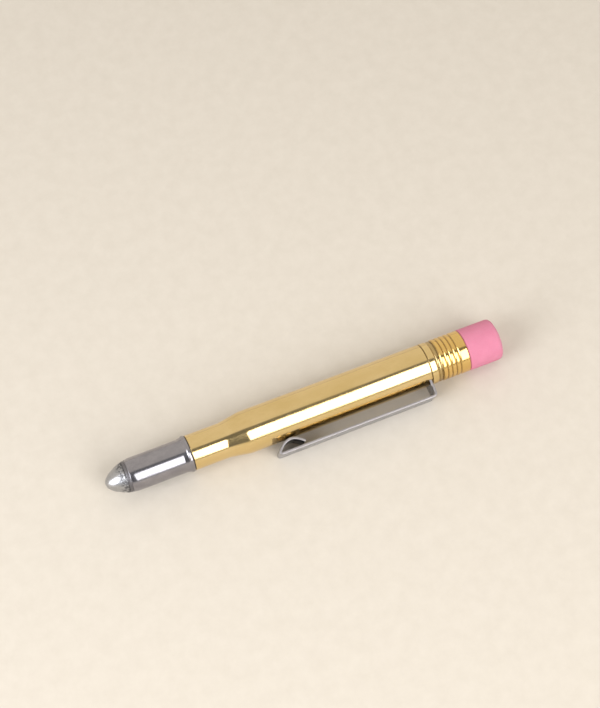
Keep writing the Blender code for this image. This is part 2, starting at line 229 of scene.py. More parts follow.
def block(size, station, out, first, second):
    """A box for cutting, with its sides along two directions and their cross product."""
    third = first.cross(second)
    matrix = Matrix((first, second, third)).transposed().to_4x4()
    matrix.translation = at(station, out)
    shape = bmesh.new()
    bmesh.ops.create_cube(shape, size=1.0, matrix=matrix @ Matrix.Diagonal((*[s * MM for s in size], 1.0)))
    return finished("cutting_block", shape)


def combine(obj, other, operation):
    boolean = obj.modifiers.new("combine", "BOOLEAN")
    boolean.operation, boolean.object, boolean.solver = operation, other, "EXACT"
    realised(obj)
    bpy.data.objects.remove(other, do_unlink=True)
    return obj


# ---------------------------------------------------------------- materials
class Paint:
    """A node material: a Principled shader, with short ways to add what drives it."""

    def __init__(self, name, colour, metallic, roughness, **sockets):
        self.material = bpy.data.materials.new(name)
        self.material.use_nodes = True
        self.tree = self.material.node_tree
        self.shader = self.tree.nodes["Principled BSDF"]
        self.set("Base Color", (*colour, 1.0))
        self.set("Metallic", metallic)
        self.set("Roughness", roughness)
        for key, value in sockets.items():
            self.set(key.replace("_", " "), value)
        coords = self.node("ShaderNodeTexCoord").outputs["Object"]
        self.mm = self.vector("MULTIPLY", coords, (1000.0, 1000.0, 1000.0))
        offset = self.vector("SUBTRACT", self.mm, (TIP_X, AXIS_Y, AXIS_Z))
        split = self.node("ShaderNodeSeparateXYZ", {0: offset})
        self.station, y, z = split.outputs[0], split.outputs[1], split.outputs[2]
        self.turn = self.math("ARCTAN2", y, z)  # 0 on top, with its seam underneath
        self.radius = self.math("SQRT", self.math("ADD", self.math("MULTIPLY", y, y), self.math("MULTIPLY", z, z)))
        self.arc = self.math("MULTIPLY", self.turn, 5.0)

    def set(self, key, value):
        self.shader.inputs[key].default_value = value

    def node(self, kind, inputs=None, **settings):
        found = self.tree.nodes.new(kind)
        for key, value in settings.items():
            setattr(found, key, value)
        for key, value in (inputs or {}).items():
            self.join(value, found.inputs[key])
        return found

    def join(self, value, socket):
        if isinstance(value, bpy.types.NodeSocket):
            self.tree.links.new(value, socket)
        else:
            socket.default_value = value

    def math(self, operation, a, b=0.0, clamp=False):
        return self.node("ShaderNodeMath", {0: a, 1: b}, operation=operation, use_clamp=clamp).outputs[0]

    def vector(self, operation, a, b):
        return self.node("ShaderNodeVectorMath", {0: a, 1: b}, operation=operation).outputs[0]

    def combined(self, x, y, z):
        return self.node("ShaderNodeCombineXYZ", {0: x, 1: y, 2: z}).outputs[0]

    def unrolled(self, along, around, deep=1.0):
        """Coordinates on the unrolled surface, stretched by a scale along and a scale around."""
        return self.combined(
            self.math("MULTIPLY", self.station, along),
            self.math("MULTIPLY", self.arc, around),
            self.math("MULTIPLY", self.radius, deep),
        )

    def noise(self, coords, scale=1.0, detail=3.0, rough=0.55, distortion=0.0):
        return self.node(
            "ShaderNodeTexNoise",
            {"Vector": coords, "Scale": scale, "Detail": detail, "Roughness": rough, "Distortion": distortion},
        ).outputs[0]

    def range(self, value, low, high, to_low=0.0, to_high=1.0, smooth_step=False):
        return self.node(
            "ShaderNodeMapRange",
            {0: value, 1: low, 2: high, 3: to_low, 4: to_high},
            interpolation_type="SMOOTHSTEP" if smooth_step else "LINEAR",
        ).outputs[0]

    def mix(self, factor, a, b):
        node = self.node("ShaderNodeMix", data_type="RGBA")
        self.join(factor, node.inputs[0])
        self.join(a if isinstance(a, bpy.types.NodeSocket) else (*a, 1.0), node.inputs[6])
        self.join(b if isinstance(b, bpy.types.NodeSocket) else (*b, 1.0), node.inputs[7])
        return node.outputs[2]

    def specks(self, scale, size):
        """Small round spots, 1 inside and 0 outside."""
        distance = self.node("ShaderNodeTexVoronoi", {"Vector": self.mm, "Scale": scale}, feature="F1").outputs["Distance"]
        spot = self.range(distance, size, size * 0.4, 0.0, 1.0)
        some = self.range(self.noise(self.mm, scale * 0.55, 1.0), 0.56, 0.62)
        return self.math("MULTIPLY", spot, some)

    def within(self, value, start, end, soft=0.1):
        """1 between start and end, and 0 outside."""
        return self.math(
            "MULTIPLY",
            self.range(value, start - soft, start + soft),
            self.range(value, end - soft, end + soft, 1.0, 0.0),
        )

    def bump(self, height, strength, distance_mm):
        self.join(
            self.node("ShaderNodeBump", {"Height": height, "Strength": strength, "Distance": distance_mm * MM}).outputs[0],
            self.shader.inputs["Normal"],
        )

    def use(self, socket, value):
        self.join(value, self.shader.inputs[socket])


def brass(name, tarnish_and_shade=None, tint=0.0):
    """Polished brass: faint clouding, hairline scratches along the tube and round it, small dark specks."""
    p = Paint(name, (0.80, 0.60, 0.27), 1.0, 0.12)
    cloud = p.noise(p.unrolled(0.09, 0.22), 1.0, 4.0, 0.6)
    fine = p.noise(p.mm, 1.6, 5.0, 0.65)
    colour = p.mix(p.range(cloud, 0.35, 0.68), (0.80, 0.61, 0.305), (0.735, 0.55, 0.248))
    colour = p.mix(p.math("MULTIPLY", p.range(fine, 0.50, 0.80), 0.25), colour, (0.72, 0.50, 0.20))
    if tint:
        colour = p.mix(tint, colour, (0.84, 0.51, 0.11))
    long_scratch = p.noise(p.unrolled(0.25, 16.0), 1.0, 3.0, 0.7)
    round_scratch = p.noise(p.unrolled(13.0, 0.30), 1.0, 2.0, 0.6)
    speck = p.specks(1.15, 0.10)
    colour = p.mix(p.math("MULTIPLY", speck, 0.55), colour, (0.20, 0.12, 0.05))
    worn = p.math("ADD", p.range(cloud, 0.4, 0.75, 0.0, 0.05), p.range(long_scratch, 0.52, 0.72, 0.0, 0.06))
    rough = p.math("ADD", worn, p.range(fine, 0.4, 0.8, 0.105, 0.16))
    # Tarnish darkens and roughens the colour here, and for the collar and the ferrule so does painted shade in their
    # grooves and gaps.
    if tarnish_and_shade is not None:
        dirt_and_painted_shade = tarnish_and_shade(p)
        colour = p.mix(dirt_and_painted_shade, colour, (0.20, 0.125, 0.045))
        rough = p.math("ADD", rough, p.math("MULTIPLY", dirt_and_painted_shade, 0.22))
    p.use("Base Color", colour)
    p.use("Roughness", rough)
    height = p.math(
        "ADD",
        p.math("MULTIPLY", long_scratch, 0.35),
        p.math("ADD", p.math("MULTIPLY", round_scratch, 0.45), p.math("MULTIPLY", p.noise(p.unrolled(0.35, 0.35), 1.0, 1.0), 4.0)),
    )
    p.bump(height, 0.5, 0.006)
    return p.material


def barrel_grime(p):
    """Tarnish held in the joint, on the mouth's edge and inside the bore."""
    edge = p.within(p.station, BARREL_END - 0.14, BARREL_END + 1.0, 0.10)
    mouth = p.within(p.station, MOUTH - 1.0, MOUTH + 0.10, 0.10)
    inside = p.range(p.radius, 4.44, 4.36)
    uneven = p.range(p.noise(p.unrolled(0.8, 0.8), 1.0, 3.0), 0.25, 0.7, 0.35, 1.0)
    either = p.math("MAXIMUM", p.math("MAXIMUM", edge, mouth), inside)
    return p.math("MULTIPLY", p.math("MULTIPLY", either, uneven), 0.45)


def ferrule_tarnish_and_groove_shade(p):
    """Painted shade in the rolled grooves, deepest at their floors, and on the ferrule's leading edge, with uneven
    tarnish.
    """
    # painted shade at the floors of the grooves
    floor = p.range(p.radius, BODY_R - 0.09, BODY_R - 0.17)
    uneven = p.range(p.noise(p.unrolled(0.9, 0.9), 1.0, 3.0), 0.25, 0.7, 0.55, 1.0)
    # painted shade on the leading edge, behind the bead
    behind = p.math("MULTIPLY", p.range(p.station, FERRULE[0] + 0.35, FERRULE[0] + 0.1), 0.8)
    return p.math("MULTIPLY", p.math("MAXIMUM", floor, behind), p.math("MULTIPLY", uneven, 0.72))


def plug_joint_and_gap_shade(p):
    # Painted shade on the stub and the bead between the collar and the ferrule. The joint with the barrel is a dark
    # joint.
    recess_shade = p.range(p.radius, 5.16, 5.06)
    joint = p.within(p.station, COLLAR[0] - 0.5, COLLAR[0] + 0.12, 0.08)
    gap_shade = p.math("MULTIPLY", p.within(p.station, COLLAR[1] + 0.02, FERRULE[0] + 0.1, 0.05), 0.8)
    return p.math("MULTIPLY", p.math("MAXIMUM", gap_shade, p.math("MAXIMUM", recess_shade, joint)), 0.55)


def nickel(name):
    """Satin nickel: turning lines round the tube, faint mottling, a few dark specks, dark seams and painted shade on
    the ring next to the dome.
    """
    p = Paint(name, (0.42, 0.41, 0.41), 1.0, 0.26)
    cloud = p.noise(p.unrolled(0.30, 0.40), 1.0, 5.0, 0.62)
    lines = p.noise(p.unrolled(11.0, 0.16), 1.0, 3.0, 0.65)
    long_lines = p.noise(p.unrolled(0.4, 9.0), 1.0, 2.0, 0.6)
    colour = p.mix(p.range(cloud, 0.36, 0.66), (0.365, 0.355, 0.385), (0.30, 0.292, 0.322))
    colour = p.mix(p.math("MULTIPLY", p.range(lines, 0.5, 0.75), 0.25), colour, (0.22, 0.215, 0.225))
    speck = p.specks(1.5, 0.11)
    colour = p.mix(p.math("MULTIPLY", speck, 0.6), colour, (0.12, 0.11, 0.11))
    seam = p.math(
        "MAXIMUM", p.within(p.station, 5.74, 5.96, 0.14), p.math("MAXIMUM", p.within(p.station, 4.9, 5.22, 0.10), p.within(p.station, 21.72, 22.4, 0.10))
    )
    inside = p.range(p.radius, 3.70, 3.60)
    # The ring from station 5.1 to 6.0 is darkened as painted shade. The seams are dark joints.
    dirt_and_painted_shade = p.math("MULTIPLY", p.math("MAXIMUM", seam, p.math("MAXIMUM", inside, p.within(p.station, 5.1, 6.0, 0.08))), 0.5)
    colour = p.mix(dirt_and_painted_shade, colour, (0.075, 0.07, 0.07))
    p.use("Base Color", colour)
    worn = p.math("ADD", p.range(cloud, 0.35, 0.7, 0.15, 0.21), p.range(lines, 0.4, 0.8, 0.0, 0.05))
    p.use("Roughness", p.math("ADD", worn, p.math("MULTIPLY", dirt_and_painted_shade, 0.5)))
    p.bump(p.math("ADD", lines, p.math("MULTIPLY", long_lines, 0.4)), 0.5, 0.007)
    return p.material


def cast(name):
    """Bright cast metal, polished on the nose and pitted towards its base."""
    p = Paint(name, (0.66, 0.66, 0.66), 1.0, 0.36)
    grain = p.noise(p.mm, 2.6, 5.0, 0.62)
    blots = p.noise(p.mm, 1.35, 3.0, 0.6, 0.6)
    base = p.range(p.station, 2.9, 4.0, 0.0, 1.0)
    colour = p.mix(p.range(grain, 0.38, 0.7), (0.48, 0.485, 0.50), (0.36, 0.36, 0.375))
    colour = p.mix(p.math("MULTIPLY", p.range(p.station, 3.2, 4.9), 0.75), colour, (0.36, 0.36, 0.375))
    blotch = p.math("MULTIPLY", p.range(blots, 0.45, 0.55), base)
    colour = p.mix(p.math("MULTIPLY", blotch, 0.85), colour, (0.11, 0.11, 0.12))
    rim = p.range(p.station, DOME_END - 0.42, DOME_END - 0.1)
    colour = p.mix(p.math("MULTIPLY", rim, 0.35), colour, (0.10, 0.10, 0.105))
    p.use("Base Color", colour)
    p.use("Roughness", p.math("ADD", p.range(grain, 0.35, 0.75, 0.26, 0.38), p.math("MULTIPLY", blotch, 0.2)))
    pits = p.math("ADD", p.math("MULTIPLY", grain, 0.5), p.math("MULTIPLY", blotch, -1.2))
    p.bump(pits, 0.8, 0.030)
    return p.material


def spring(name):
    """Spring steel strip: fine lines along it, faint handling marks, brighter sheared edges."""
    p = Paint(name, (0.52, 0.505, 0.51), 1.0, 0.27)
    normal = p.node("ShaderNodeNewGeometry").outputs["True Normal"]
    side = p.math("ABSOLUTE", p.node("ShaderNodeVectorMath", {0: normal, 1: tuple(SIDE)}, operation="DOT_PRODUCT").outputs["Value"])
    edge = p.range(side, 0.5, 0.9)
    lines = p.noise(p.vector("MULTIPLY", p.mm, (0.3, 7.0, 7.0)), 1.0, 3.0, 0.65)
    marks = p.noise(p.mm, 0.55, 4.0, 0.6)
    colour = p.mix(p.range(marks, 0.38, 0.68), (0.42, 0.42, 0.45), (0.33, 0.33, 0.355))
    colour = p.mix(p.math("MULTIPLY", p.specks(1.3, 0.10), 0.5), colour, (0.16, 0.12, 0.10))
    colour = p.mix(p.math("MULTIPLY", edge, 0.75), colour, (0.47, 0.44, 0.445))
    p.use("Base Color", colour)
    p.use(
        "Roughness",
        p.math("ADD", p.range(marks, 0.35, 0.7, 0.20, 0.30), p.math("ADD", p.range(lines, 0.45, 0.75, 0.0, 0.07), p.math("MULTIPLY", edge, 0.10))),
    )
    p.bump(p.math("ADD", lines, p.math("MULTIPLY", marks, 1.5)), 0.5, 0.006)
    return p.material


def rubber(name):
    """Pink eraser rubber: a powdery matte skin, tiny pores, a paler rubbed rim and faint smudges."""
    p = Paint(name, (0.87, 0.29, 0.43), 0.0, 0.78, Specular_IOR_Level=0.28, Subsurface_Weight=0.10, Subsurface_Scale=0.0008)
    p.set("Subsurface Radius", (1.0, 0.35, 0.35))
    soft = p.noise(p.mm, 0.35, 4.0, 0.6)
    powder = p.noise(p.mm, 5.5, 4.0, 0.7)
    colour = p.mix(p.range(soft, 0.35, 0.68), (0.635, 0.222, 0.328), (0.605, 0.201, 0.300))
    colour = p.mix(p.math("MULTIPLY", p.range(powder, 0.5, 0.75), 0.35), colour, (0.65, 0.28, 0.38))
    rim = p.math("MULTIPLY", p.range(p.station, LENGTH - 1.3, LENGTH - 0.3), p.range(p.radius, 3.6, 4.9))
    colour = p.mix(p.math("MULTIPLY", rim, 0.30), colour, (0.67, 0.32, 0.41))
    smudge = p.math("MULTIPLY", p.range(p.noise(p.mm, 0.75, 4.0, 0.65), 0.60, 0.74), p.range(p.station, LENGTH - 2.6, LENGTH - 0.2))
    colour = p.mix(p.math("MULTIPLY", smudge, 0.35), colour, (0.34, 0.20, 0.24))
    seat = p.range(p.station, FERRULE[1] + 0.45, FERRULE[1] + 0.05)
    colour = p.mix(p.math("MULTIPLY", seat, 0.45), colour, (0.50, 0.17, 0.20))
    p.use("Base Color", colour)
    p.use("Roughness", p.range(powder, 0.3, 0.8, 0.68, 0.88))
    pores = p.node("ShaderNodeTexVoronoi", {"Vector": p.mm, "Scale": 4.2}, feature="F1").outputs["Distance"]
    p.bump(p.math("ADD", powder, p.math("MULTIPLY", p.range(pores, 0.05, 0.22), 0.5)), 0.55, 0.030)
    return p.material


def wood(name, painted_light_level):
    """Bare cedar: long grain, darker growth lines and short pores."""
    p = Paint(name, (0.55, 0.30, 0.16), 0.0, 0.6, Specular_IOR_Level=0.3)
    bent = p.noise(p.vector("MULTIPLY", p.mm, (0.05, 0.6, 0.6)), 1.0, 3.0)
    grain = p.noise(p.vector("MULTIPLY", p.mm, (0.16, 5.0, 5.0)), 1.0, 5.0, 0.65, 0.2)
    rings = p.node("ShaderNodeTexWave", {"Vector": p.vector("MULTIPLY", p.mm, (0.03, 0.55, 0.9)), "Scale": 1.0, "Distortion": 3.2, "Detail": 3.0, "Detail Scale": 0.7}, wave_type="BANDS", bands_direction="Z").outputs[0]
    pores = p.noise(p.vector("MULTIPLY", p.mm, (0.9, 14.0, 14.0)), 1.0, 2.0, 0.6)
    # Every colour is scaled by a painted light level, which makes the lower slat darker as painted shade.
    colour = p.mix(rings, (0.60 * painted_light_level, 0.335 * painted_light_level, 0.175 * painted_light_level), (0.46 * painted_light_level, 0.235 * painted_light_level, 0.115 * painted_light_level))
    colour = p.mix(p.math("MULTIPLY", p.range(grain, 0.45, 0.75), 0.55), colour, (0.35 * painted_light_level, 0.165 * painted_light_level, 0.08 * painted_light_level))
    colour = p.mix(p.math("MULTIPLY", p.range(bent, 0.4, 0.7), 0.25), colour, (0.68 * painted_light_level, 0.41 * painted_light_level, 0.24 * painted_light_level))
    colour = p.mix(p.math("MULTIPLY", p.range(pores, 0.62, 0.72), 0.6), colour, (0.20, 0.09, 0.04))
    p.use("Base Color", colour)
    p.use("Roughness", p.range(grain, 0.3, 0.8, 0.50, 0.70))
    p.bump(p.math("SUBTRACT", grain, p.range(pores, 0.6, 0.75)), 0.6, 0.035)
    return p.material


def lead_paint(name):
    p = Paint(name, (0.085, 0.085, 0.095), 0.35, 0.42)
    grain = p.noise(p.mm, 6.0, 4.0, 0.65)
    drawn = p.noise(p.unrolled(0.5, 10.0), 1.0, 2.0)
    p.use("Base Color", p.mix(p.range(grain, 0.4, 0.7), (0.065, 0.065, 0.072), (0.14, 0.14, 0.15)))
    p.use("Roughness", p.math("ADD", p.range(grain, 0.3, 0.7, 0.28, 0.44), p.range(drawn, 0.5, 0.8, 0.0, 0.15)))
    p.bump(p.math("ADD", grain, drawn), 0.5, 0.012)
    return p.material


# ---------------------------------------------------------------- barrel
def rings(radius, start, end, step=THREAD_PITCH / 12):
    count = max(1, round(abs(end - start) / step))
    return [(start + (end - start) * i / count, radius) for i in range(count + 1)]


def made_barrel():
    outside = rounded(
        [
            (BARREL_END, COUNTERBORE_R),
            (BARREL_END, BODY_R, 0.17),
            (SHOULDER[1], BODY_R, 0.40),
            (SHOULDER[0], NECK_R, 0.40),
            (MOUTH, NECK_R, 0.09),
            (MOUTH, BORE_R, 0.05),
            (BORE_END, BORE_R),
        ],
        8,
    )
    mean = THREAD_R + THREAD_CLEARANCE
    inside = [
        (BORE_END + 0.15, mean + THREAD_HEIGHT),
        *rings(mean, *TAPPED_SPAN),
        (COUNTERBORE, mean + THREAD_HEIGHT),
        (COUNTERBORE, COUNTERBORE_R),
    ]
    body = lathe("barrel_body", outside + inside, 192, thread=(*TAPPED_SPAN, mean, 1))
    depth = BARREL_END - COUNTERBORE + 1.0
    combine(body, block((depth, 3.6, CLIP_W + 0.2), COUNTERBORE + 0.001 + depth / 2, BODY_R + 0.1, ALONG, OUT), "DIFFERENCE")
    body.data.materials.clear()
    body.data.materials.append(brass("brass_barrel", barrel_grime))
    return smooth(body)


barrel = made_barrel()
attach(barrel, "barrel")
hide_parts("barrel")


# ---------------------------------------------------------------- holder: dome and sleeve
def made_dome():
    path = []
    steps = 44
    for i in range(steps + 1):
        station = (DOME_END - 0.14) * (i / steps) ** 2.0
        path.append((station, 1.84 * station**0.465))
    base = path[-1][1]
    path += [(DOME_END - 0.03, base - 0.02), (DOME_END, base - 0.14)]
    fit = SLEEVE_BORE_R - 0.08
    path += [(DOME_END, fit), (PENCIL_BACK - 0.3, fit), (PENCIL_BACK - 0.2, fit - 0.1), (PENCIL_BACK - 0.2, 0.0)]
    dome = lathe("nose_dome", path, 144, wobble=0.012)
    dome.data.materials.append(cast("cast_dome_metal"))
    return smooth(dome, 40)


def made_sleeve():
    flare = [(20.82 + (19.86 - 20.82) * k / 10, TUBE_R + 0.25 * (1 - k / 10)) for k in range(11)]
    nose = [
        (7.3 + (5.98 - 7.3) * k / 10, TUBE_R - (TUBE_R - 4.03) * (k / 10) ** 1.7)
        for k in range(11)
    ]
    path = (
        rounded([(PLUG_END, SLEEVE_BORE_R + 0.1), (PLUG_END, PLUG_R, 0.22), (21.9, PLUG_R), (21.9, FLANGE_R - 0.28, 0.10), (21.66, FLANGE_R - 0.03, 0.24), (21.10, FLANGE_R + 0.005, 0.20), (20.92, TUBE_R + 0.30, 0.05), flare[0]], 8)
        + flare[1:]
        + [(flare[-1][0] - 0.12, TUBE_R), (flare[-1][0] - 2.0, TUBE_R), (10.0, TUBE_R), (7.6, TUBE_R)]
        + nose
        + rounded([(5.95, 4.01), (5.84, 3.89, 0.09), (5.72, 3.985, 0.07), (5.50, 3.955, 0.12), (SLEEVE_START, 3.85, 0.06), (SLEEVE_START, SLEEVE_BORE_R), (PLUG_END - 0.1, SLEEVE_BORE_R)], 5)
    )
    sleeve = lathe("holder_tube", path, 160)
    for second in (OUT, SIDE):
        combine(sleeve, block((8.0, 12.0, 0.5), 26.0 + 4.0, 0.0, ALONG, second), "DIFFERENCE")
    sleeve.data.materials.clear()
    sleeve.data.materials.append(nickel("satin_nickel"))
    return smooth(sleeve)


dome, sleeve = made_dome(), made_sleeve()
for piece, node, slot in ((dome, "nose_cap", "cast_dome"), (sleeve, "holder_sleeve", "satin_nickel")):
    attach(piece, "holder")
    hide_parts(node)


# ---------------------------------------------------------------- the wooden pencil
def made_slat(name, side, painted_light_level):
    core = LEAD_R + 0.04
    path = rounded(
        [
            (PENCIL_BACK, core),
            (PENCIL_BACK, PENCIL_R, 0.12),
            (PENCIL_SHOULDER, PENCIL_R, 0.25),
            (LEAD_SHOULDER, core + 0.06),
            (LEAD_SHOULDER, core),
        ],
        5,
    )
    slat = lathe(name, dense(path, 3.0), 128)
    high = Vector((0, 0, 1))
    middle = (PENCIL_TIP + PENCIL_BACK) / 2
    cutter = block((80.0, 20.0, 10.0), middle, 0.0, ALONG, Vector((0, 1, 0)))
    cutter.data.transform(Matrix.Translation(high * (-side * (5.0 - 0.02) * MM)))
    combine(slat, cutter, "DIFFERENCE")
    slat.data.materials.clear()
    slat.data.materials.append(wood("cedar_" + name, painted_light_level))
    return smooth(slat)


lead_path = [(PENCIL_TIP, 0.0), (PENCIL_TIP - 0.03, 0.08), (PENCIL_TIP - 0.12, 0.15)]
lead_path += [(LEAD_SHOULDER, LEAD_R), (PENCIL_BACK, LEAD_R), (PENCIL_BACK, 0.0)]
lead = smooth(lathe("lead_core", dense(lead_path, 2.0), 48), 30)
lead.data.materials.append(lead_paint("graphite"))
# The lower slat is painted 7% darker than the upper one, as painted shade from light above.
upper, lower = made_slat("slat_upper", 1.0, 1.0), made_slat("slat_lower", -1.0, 0.93)
for piece, node, slot in ((upper, "pencil_slat_upper", "cedar"), (lower, "pencil_slat_lower", "cedar"), (lead, "graphite_lead", "graphite")):
    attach(piece, "pencil")
    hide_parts(node)


# ---------------------------------------------------------------- clip
def clip_line():
    """The strip's middle line, as (station, distance from the axis), from the ring's tab to the tip of the curl."""
    line = []
    for i in range(17):
        part = i / 16
        line.append((CLIP_LEG + 0.12 * math.sin(math.pi * 0.8 * part), 5.0 + (CLIP_ARM_R - 0.75 - 5.0) * part))
    lean = line[-1][0]
    for i in range(1, 17):
        angle = math.pi / 2 * i / 16
        line.append((lean - 0.75 + 0.75 * math.cos(angle), CLIP_ARM_R - 0.75 + 0.75 * math.sin(angle)))
    fold = 0.42
    start = line[-1][0]
    front = CLIP_FRONT + fold + 0.3
    for i in range(1, 61):
        line.append((start + (front - start) * i / 60, CLIP_ARM_R))
    for i in range(21):
        angle = math.radians(90 + 128 * i / 20)
        line.append((CLIP_FRONT + fold + fold * math.cos(angle), CLIP_ARM_R - fold + fold * math.sin(angle)))
    first_station, first_out = line[-1]
    top = BODY_R + 0.16 + CLIP_T / 2
    for i in range(1, 25):
        part = 1 - i / 24
        line.append((CLIP_CREST - (CLIP_CREST - first_station) * part, top + (first_out - top) * part**2.15))
    tip_out = CLIP_ARM_R - 0.95
    for i in range(1, 25):
        part = i / 24
        line.append((CLIP_CREST + (CLIP_TIP - CLIP_CREST) * part, top + (tip_out - top) * part**1.75))
    return line


def made_clip():
    line = [Vector(point) for point in clip_line()]
    shape = bmesh.new()
    rows = []
    for i, here in enumerate(line):
        run = (line[min(len(line) - 1, i + 1)] - line[max(0, i - 1)]).normalized()
        normal = Vector((-run.y, run.x)) * CLIP_T / 2
        a, b = here + normal, here - normal
        half = CLIP_W / 2
        rows.append([shape.verts.new(at(p.x, p.y, side)) for p, side in ((a, -half), (a, half), (b, half), (b, -half))])
    for first, second in zip(rows, rows[1:]):
        for k in range(4):
            n = (k + 1) % 4
            shape.faces.new((first[k], first[n], second[n], second[k]))
    shape.faces.new(rows[0][::-1])
    shape.faces.new(rows[-1])
    strip = finished("clip_strip", shape)
    bevel = strip.modifiers.new("edges", "BEVEL")
    bevel.width, bevel.segments, bevel.limit_method, bevel.angle_limit = 0.075 * MM, 3, "ANGLE", math.radians(50)
    realised(strip)
    # the eye round the end cap's thread
    shape = bmesh.new()
    meet = math.asin(CLIP_W / 2 / 4.97)
    outer = [(4.97 * math.cos(meet + (2 * math.pi - 2 * meet) * i / 90), 4.97 * math.sin(meet + (2 * math.pi - 2 * meet) * i / 90)) for i in range(91)]
    outer += [(5.2, -CLIP_W / 2), (5.2, CLIP_W / 2)]
    inner = [(4.05 * math.cos(2 * math.pi * i / 96), 4.05 * math.sin(2 * math.pi * i / 96)) for i in range(96)]
    edges = []
    for loop in (outer, inner):
        verts = [shape.verts.new(at(CLIP_LEG - CLIP_T / 2, x, y)) for x, y in loop]
        edges += [shape.edges.new((verts[i], verts[(i + 1) % len(verts)])) for i in range(len(verts))]
    filled = bmesh.ops.triangle_fill(shape, use_beauty=True, edges=edges)
    faces = [f for f in filled["geom"] if isinstance(f, bmesh.types.BMFace)]
    grown = bmesh.ops.extrude_face_region(shape, geom=faces)
    bmesh.ops.translate(shape, verts=[v for v in grown["geom"] if isinstance(v, bmesh.types.BMVert)], vec=ALONG * CLIP_T * MM)
    eye = finished("clip_eye", shape)
    combine(strip, eye, "UNION")
    strip.data.materials.clear()
    strip.data.materials.append(spring("spring_steel"))
    return smooth(strip, 30)


clip = made_clip()
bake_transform(clip)
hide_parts("clip_ring", "clip_arm")


# ---------------------------------------------------------------- end cap and eraser
def made_plug():
    pilot = CLIP_LEG + CLIP_T / 2 + 0.05
    crest = THREAD_R + THREAD_HEIGHT - 0.05
    path = rounded(
        [
            (STUB_END, 0.0),
            (STUB_END, STUB_R, 0.1),
            (BEAD[1] + 0.12, STUB_R, 0.05),
            (BEAD[1] - 0.02, STUB_R + 0.24, 0.12),
            ((BEAD[0] + BEAD[1]) / 2, STUB_R + 0.30, 0.2),
            (BEAD[0] + 0.02, STUB_R + 0.24, 0.12),
            (COLLAR[1] + 0.12, STUB_R + 0.06, 0.05),
            (COLLAR[1], STUB_R + 0.20, 0.05),
            (COLLAR[1] - 0.08, BODY_R - 0.09, 0.08),
            (COLLAR[1] - 0.30, BODY_R, 0.2),
            (COLLAR[1] - 0.52, BODY_R),
            (COLLAR[0], BODY_R, 0.17),
            (COLLAR[0], COUNTERBORE_R - 0.1),
            (pilot, COUNTERBORE_R - 0.1, 0.05),
            (pilot, crest),
            (CLIP_LEG - CLIP_T / 2, crest),
        ],
        6,
    )
    path += rings(THREAD_R, THREAD_SPAN[1], THREAD_SPAN[0])
    path += [(SPIGOT_START + 0.25, THREAD_R - THREAD_HEIGHT), (SPIGOT_START, THREAD_R - THREAD_HEIGHT - 0.25), (SPIGOT_START, 0.0)]
    plug = lathe("end_collar", path, 192, thread=(*THREAD_SPAN, THREAD_R, -1))
    plug.data.materials.append(brass("brass_collar", plug_joint_and_gap_shade))
    return smooth(plug)


def made_ferrule():
    start, end = FERRULE
    path = [(end, BODY_R - 0.20)]
    path += [(end - 0.02, BODY_R - 0.11), (end - 0.07, BODY_R - 0.04), (end - 0.15, BODY_R), (end - 0.20, BODY_R), (end - 0.5, BODY_R)]
    stops = sorted(GROOVES, reverse=True)
    flat = stops[0] + 0.42
    path.append((flat, BODY_R))
    edges = [flat] + stops
    for i in range(1, 9):  # down into the first groove
        part = i / 8
        path.append((flat + (stops[0] - flat) * part, BODY_R - 0.21 * 0.5 * (1 - math.cos(math.pi * part))))
    for a, b in zip(stops, stops[1:]):  # a ridge between each two grooves, rounded across its top
        for i in range(1, 25):
            part = i / 24
            path.append((a + (b - a) * part, BODY_R - 0.21 * abs(math.cos(math.pi * part)) ** 7.0 - 0.012 * (2 * part - 1) ** 2))
    last = stops[-1]
    for i in range(1, 19):  # the last ridge, and its rolled edge
        part = i / 18
        path.append((last + (start + 0.12 - last) * part, BODY_R - 0.21 * abs(math.cos(math.pi * part * 0.92)) ** 7.0))
    path += [(start + 0.03, BODY_R - 0.27), (start, FERRULE_BORE_R + 0.03), (start, FERRULE_BORE_R), (end, FERRULE_BORE_R)]
    ferrule = lathe("ferrule_shell", path, 192)
    ferrule.data.materials.append(brass("brass_ferrule", ferrule_tarnish_and_groove_shade, 0.5))
    return smooth(ferrule, 40)


def made_eraser():
    path = rounded(
        [
            (LENGTH, 0.0),
            (LENGTH, ERASER_R, 1.2),
            (FERRULE[1] + 0.30, ERASER_R, 0.18),
            (FERRULE[1] + 0.05, ERASER_FIT_R, 0.04),
            (ERASER_START, ERASER_FIT_R, 0.2),
            (ERASER_START, 0.0),
        ],
        10,
    )
    eraser = lathe("eraser_plug", dense(path, 0.45), 128)
    # a little worn and uneven where it has been used
    for vertex in eraser.data.vertices:
        station = vertex.co.x / MM - TIP_X
        if station > LENGTH - 2.2:
            y, z = vertex.co.y / MM - AXIS_Y, vertex.co.z / MM - AXIS_Z
            near = (station - LENGTH + 2.2) / 2.2
            dip = 0.10 * near * max(0.0, (z * 0.8 + y * 0.4) / ERASER_R) ** 2 + 0.02 * near * math.sin(y * 1.7) * math.cos(z * 1.3)
            vertex.co.x -= max(0.0, dip) * MM
    eraser.data.materials.append(rubber("pink_rubber"))
    return smooth(eraser, 50)


plug, ferrule, eraser = made_plug(), made_ferrule(), made_eraser()
for piece, node, slot, body in (
    (plug, "end_plug", "polished_brass", "end_cap"),
    (ferrule, "eraser_ferrule", "polished_brass", "end_cap"),
    (eraser, "eraser", "pink_rubber", "eraser"),
):
    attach(piece, body)
    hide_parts(node)


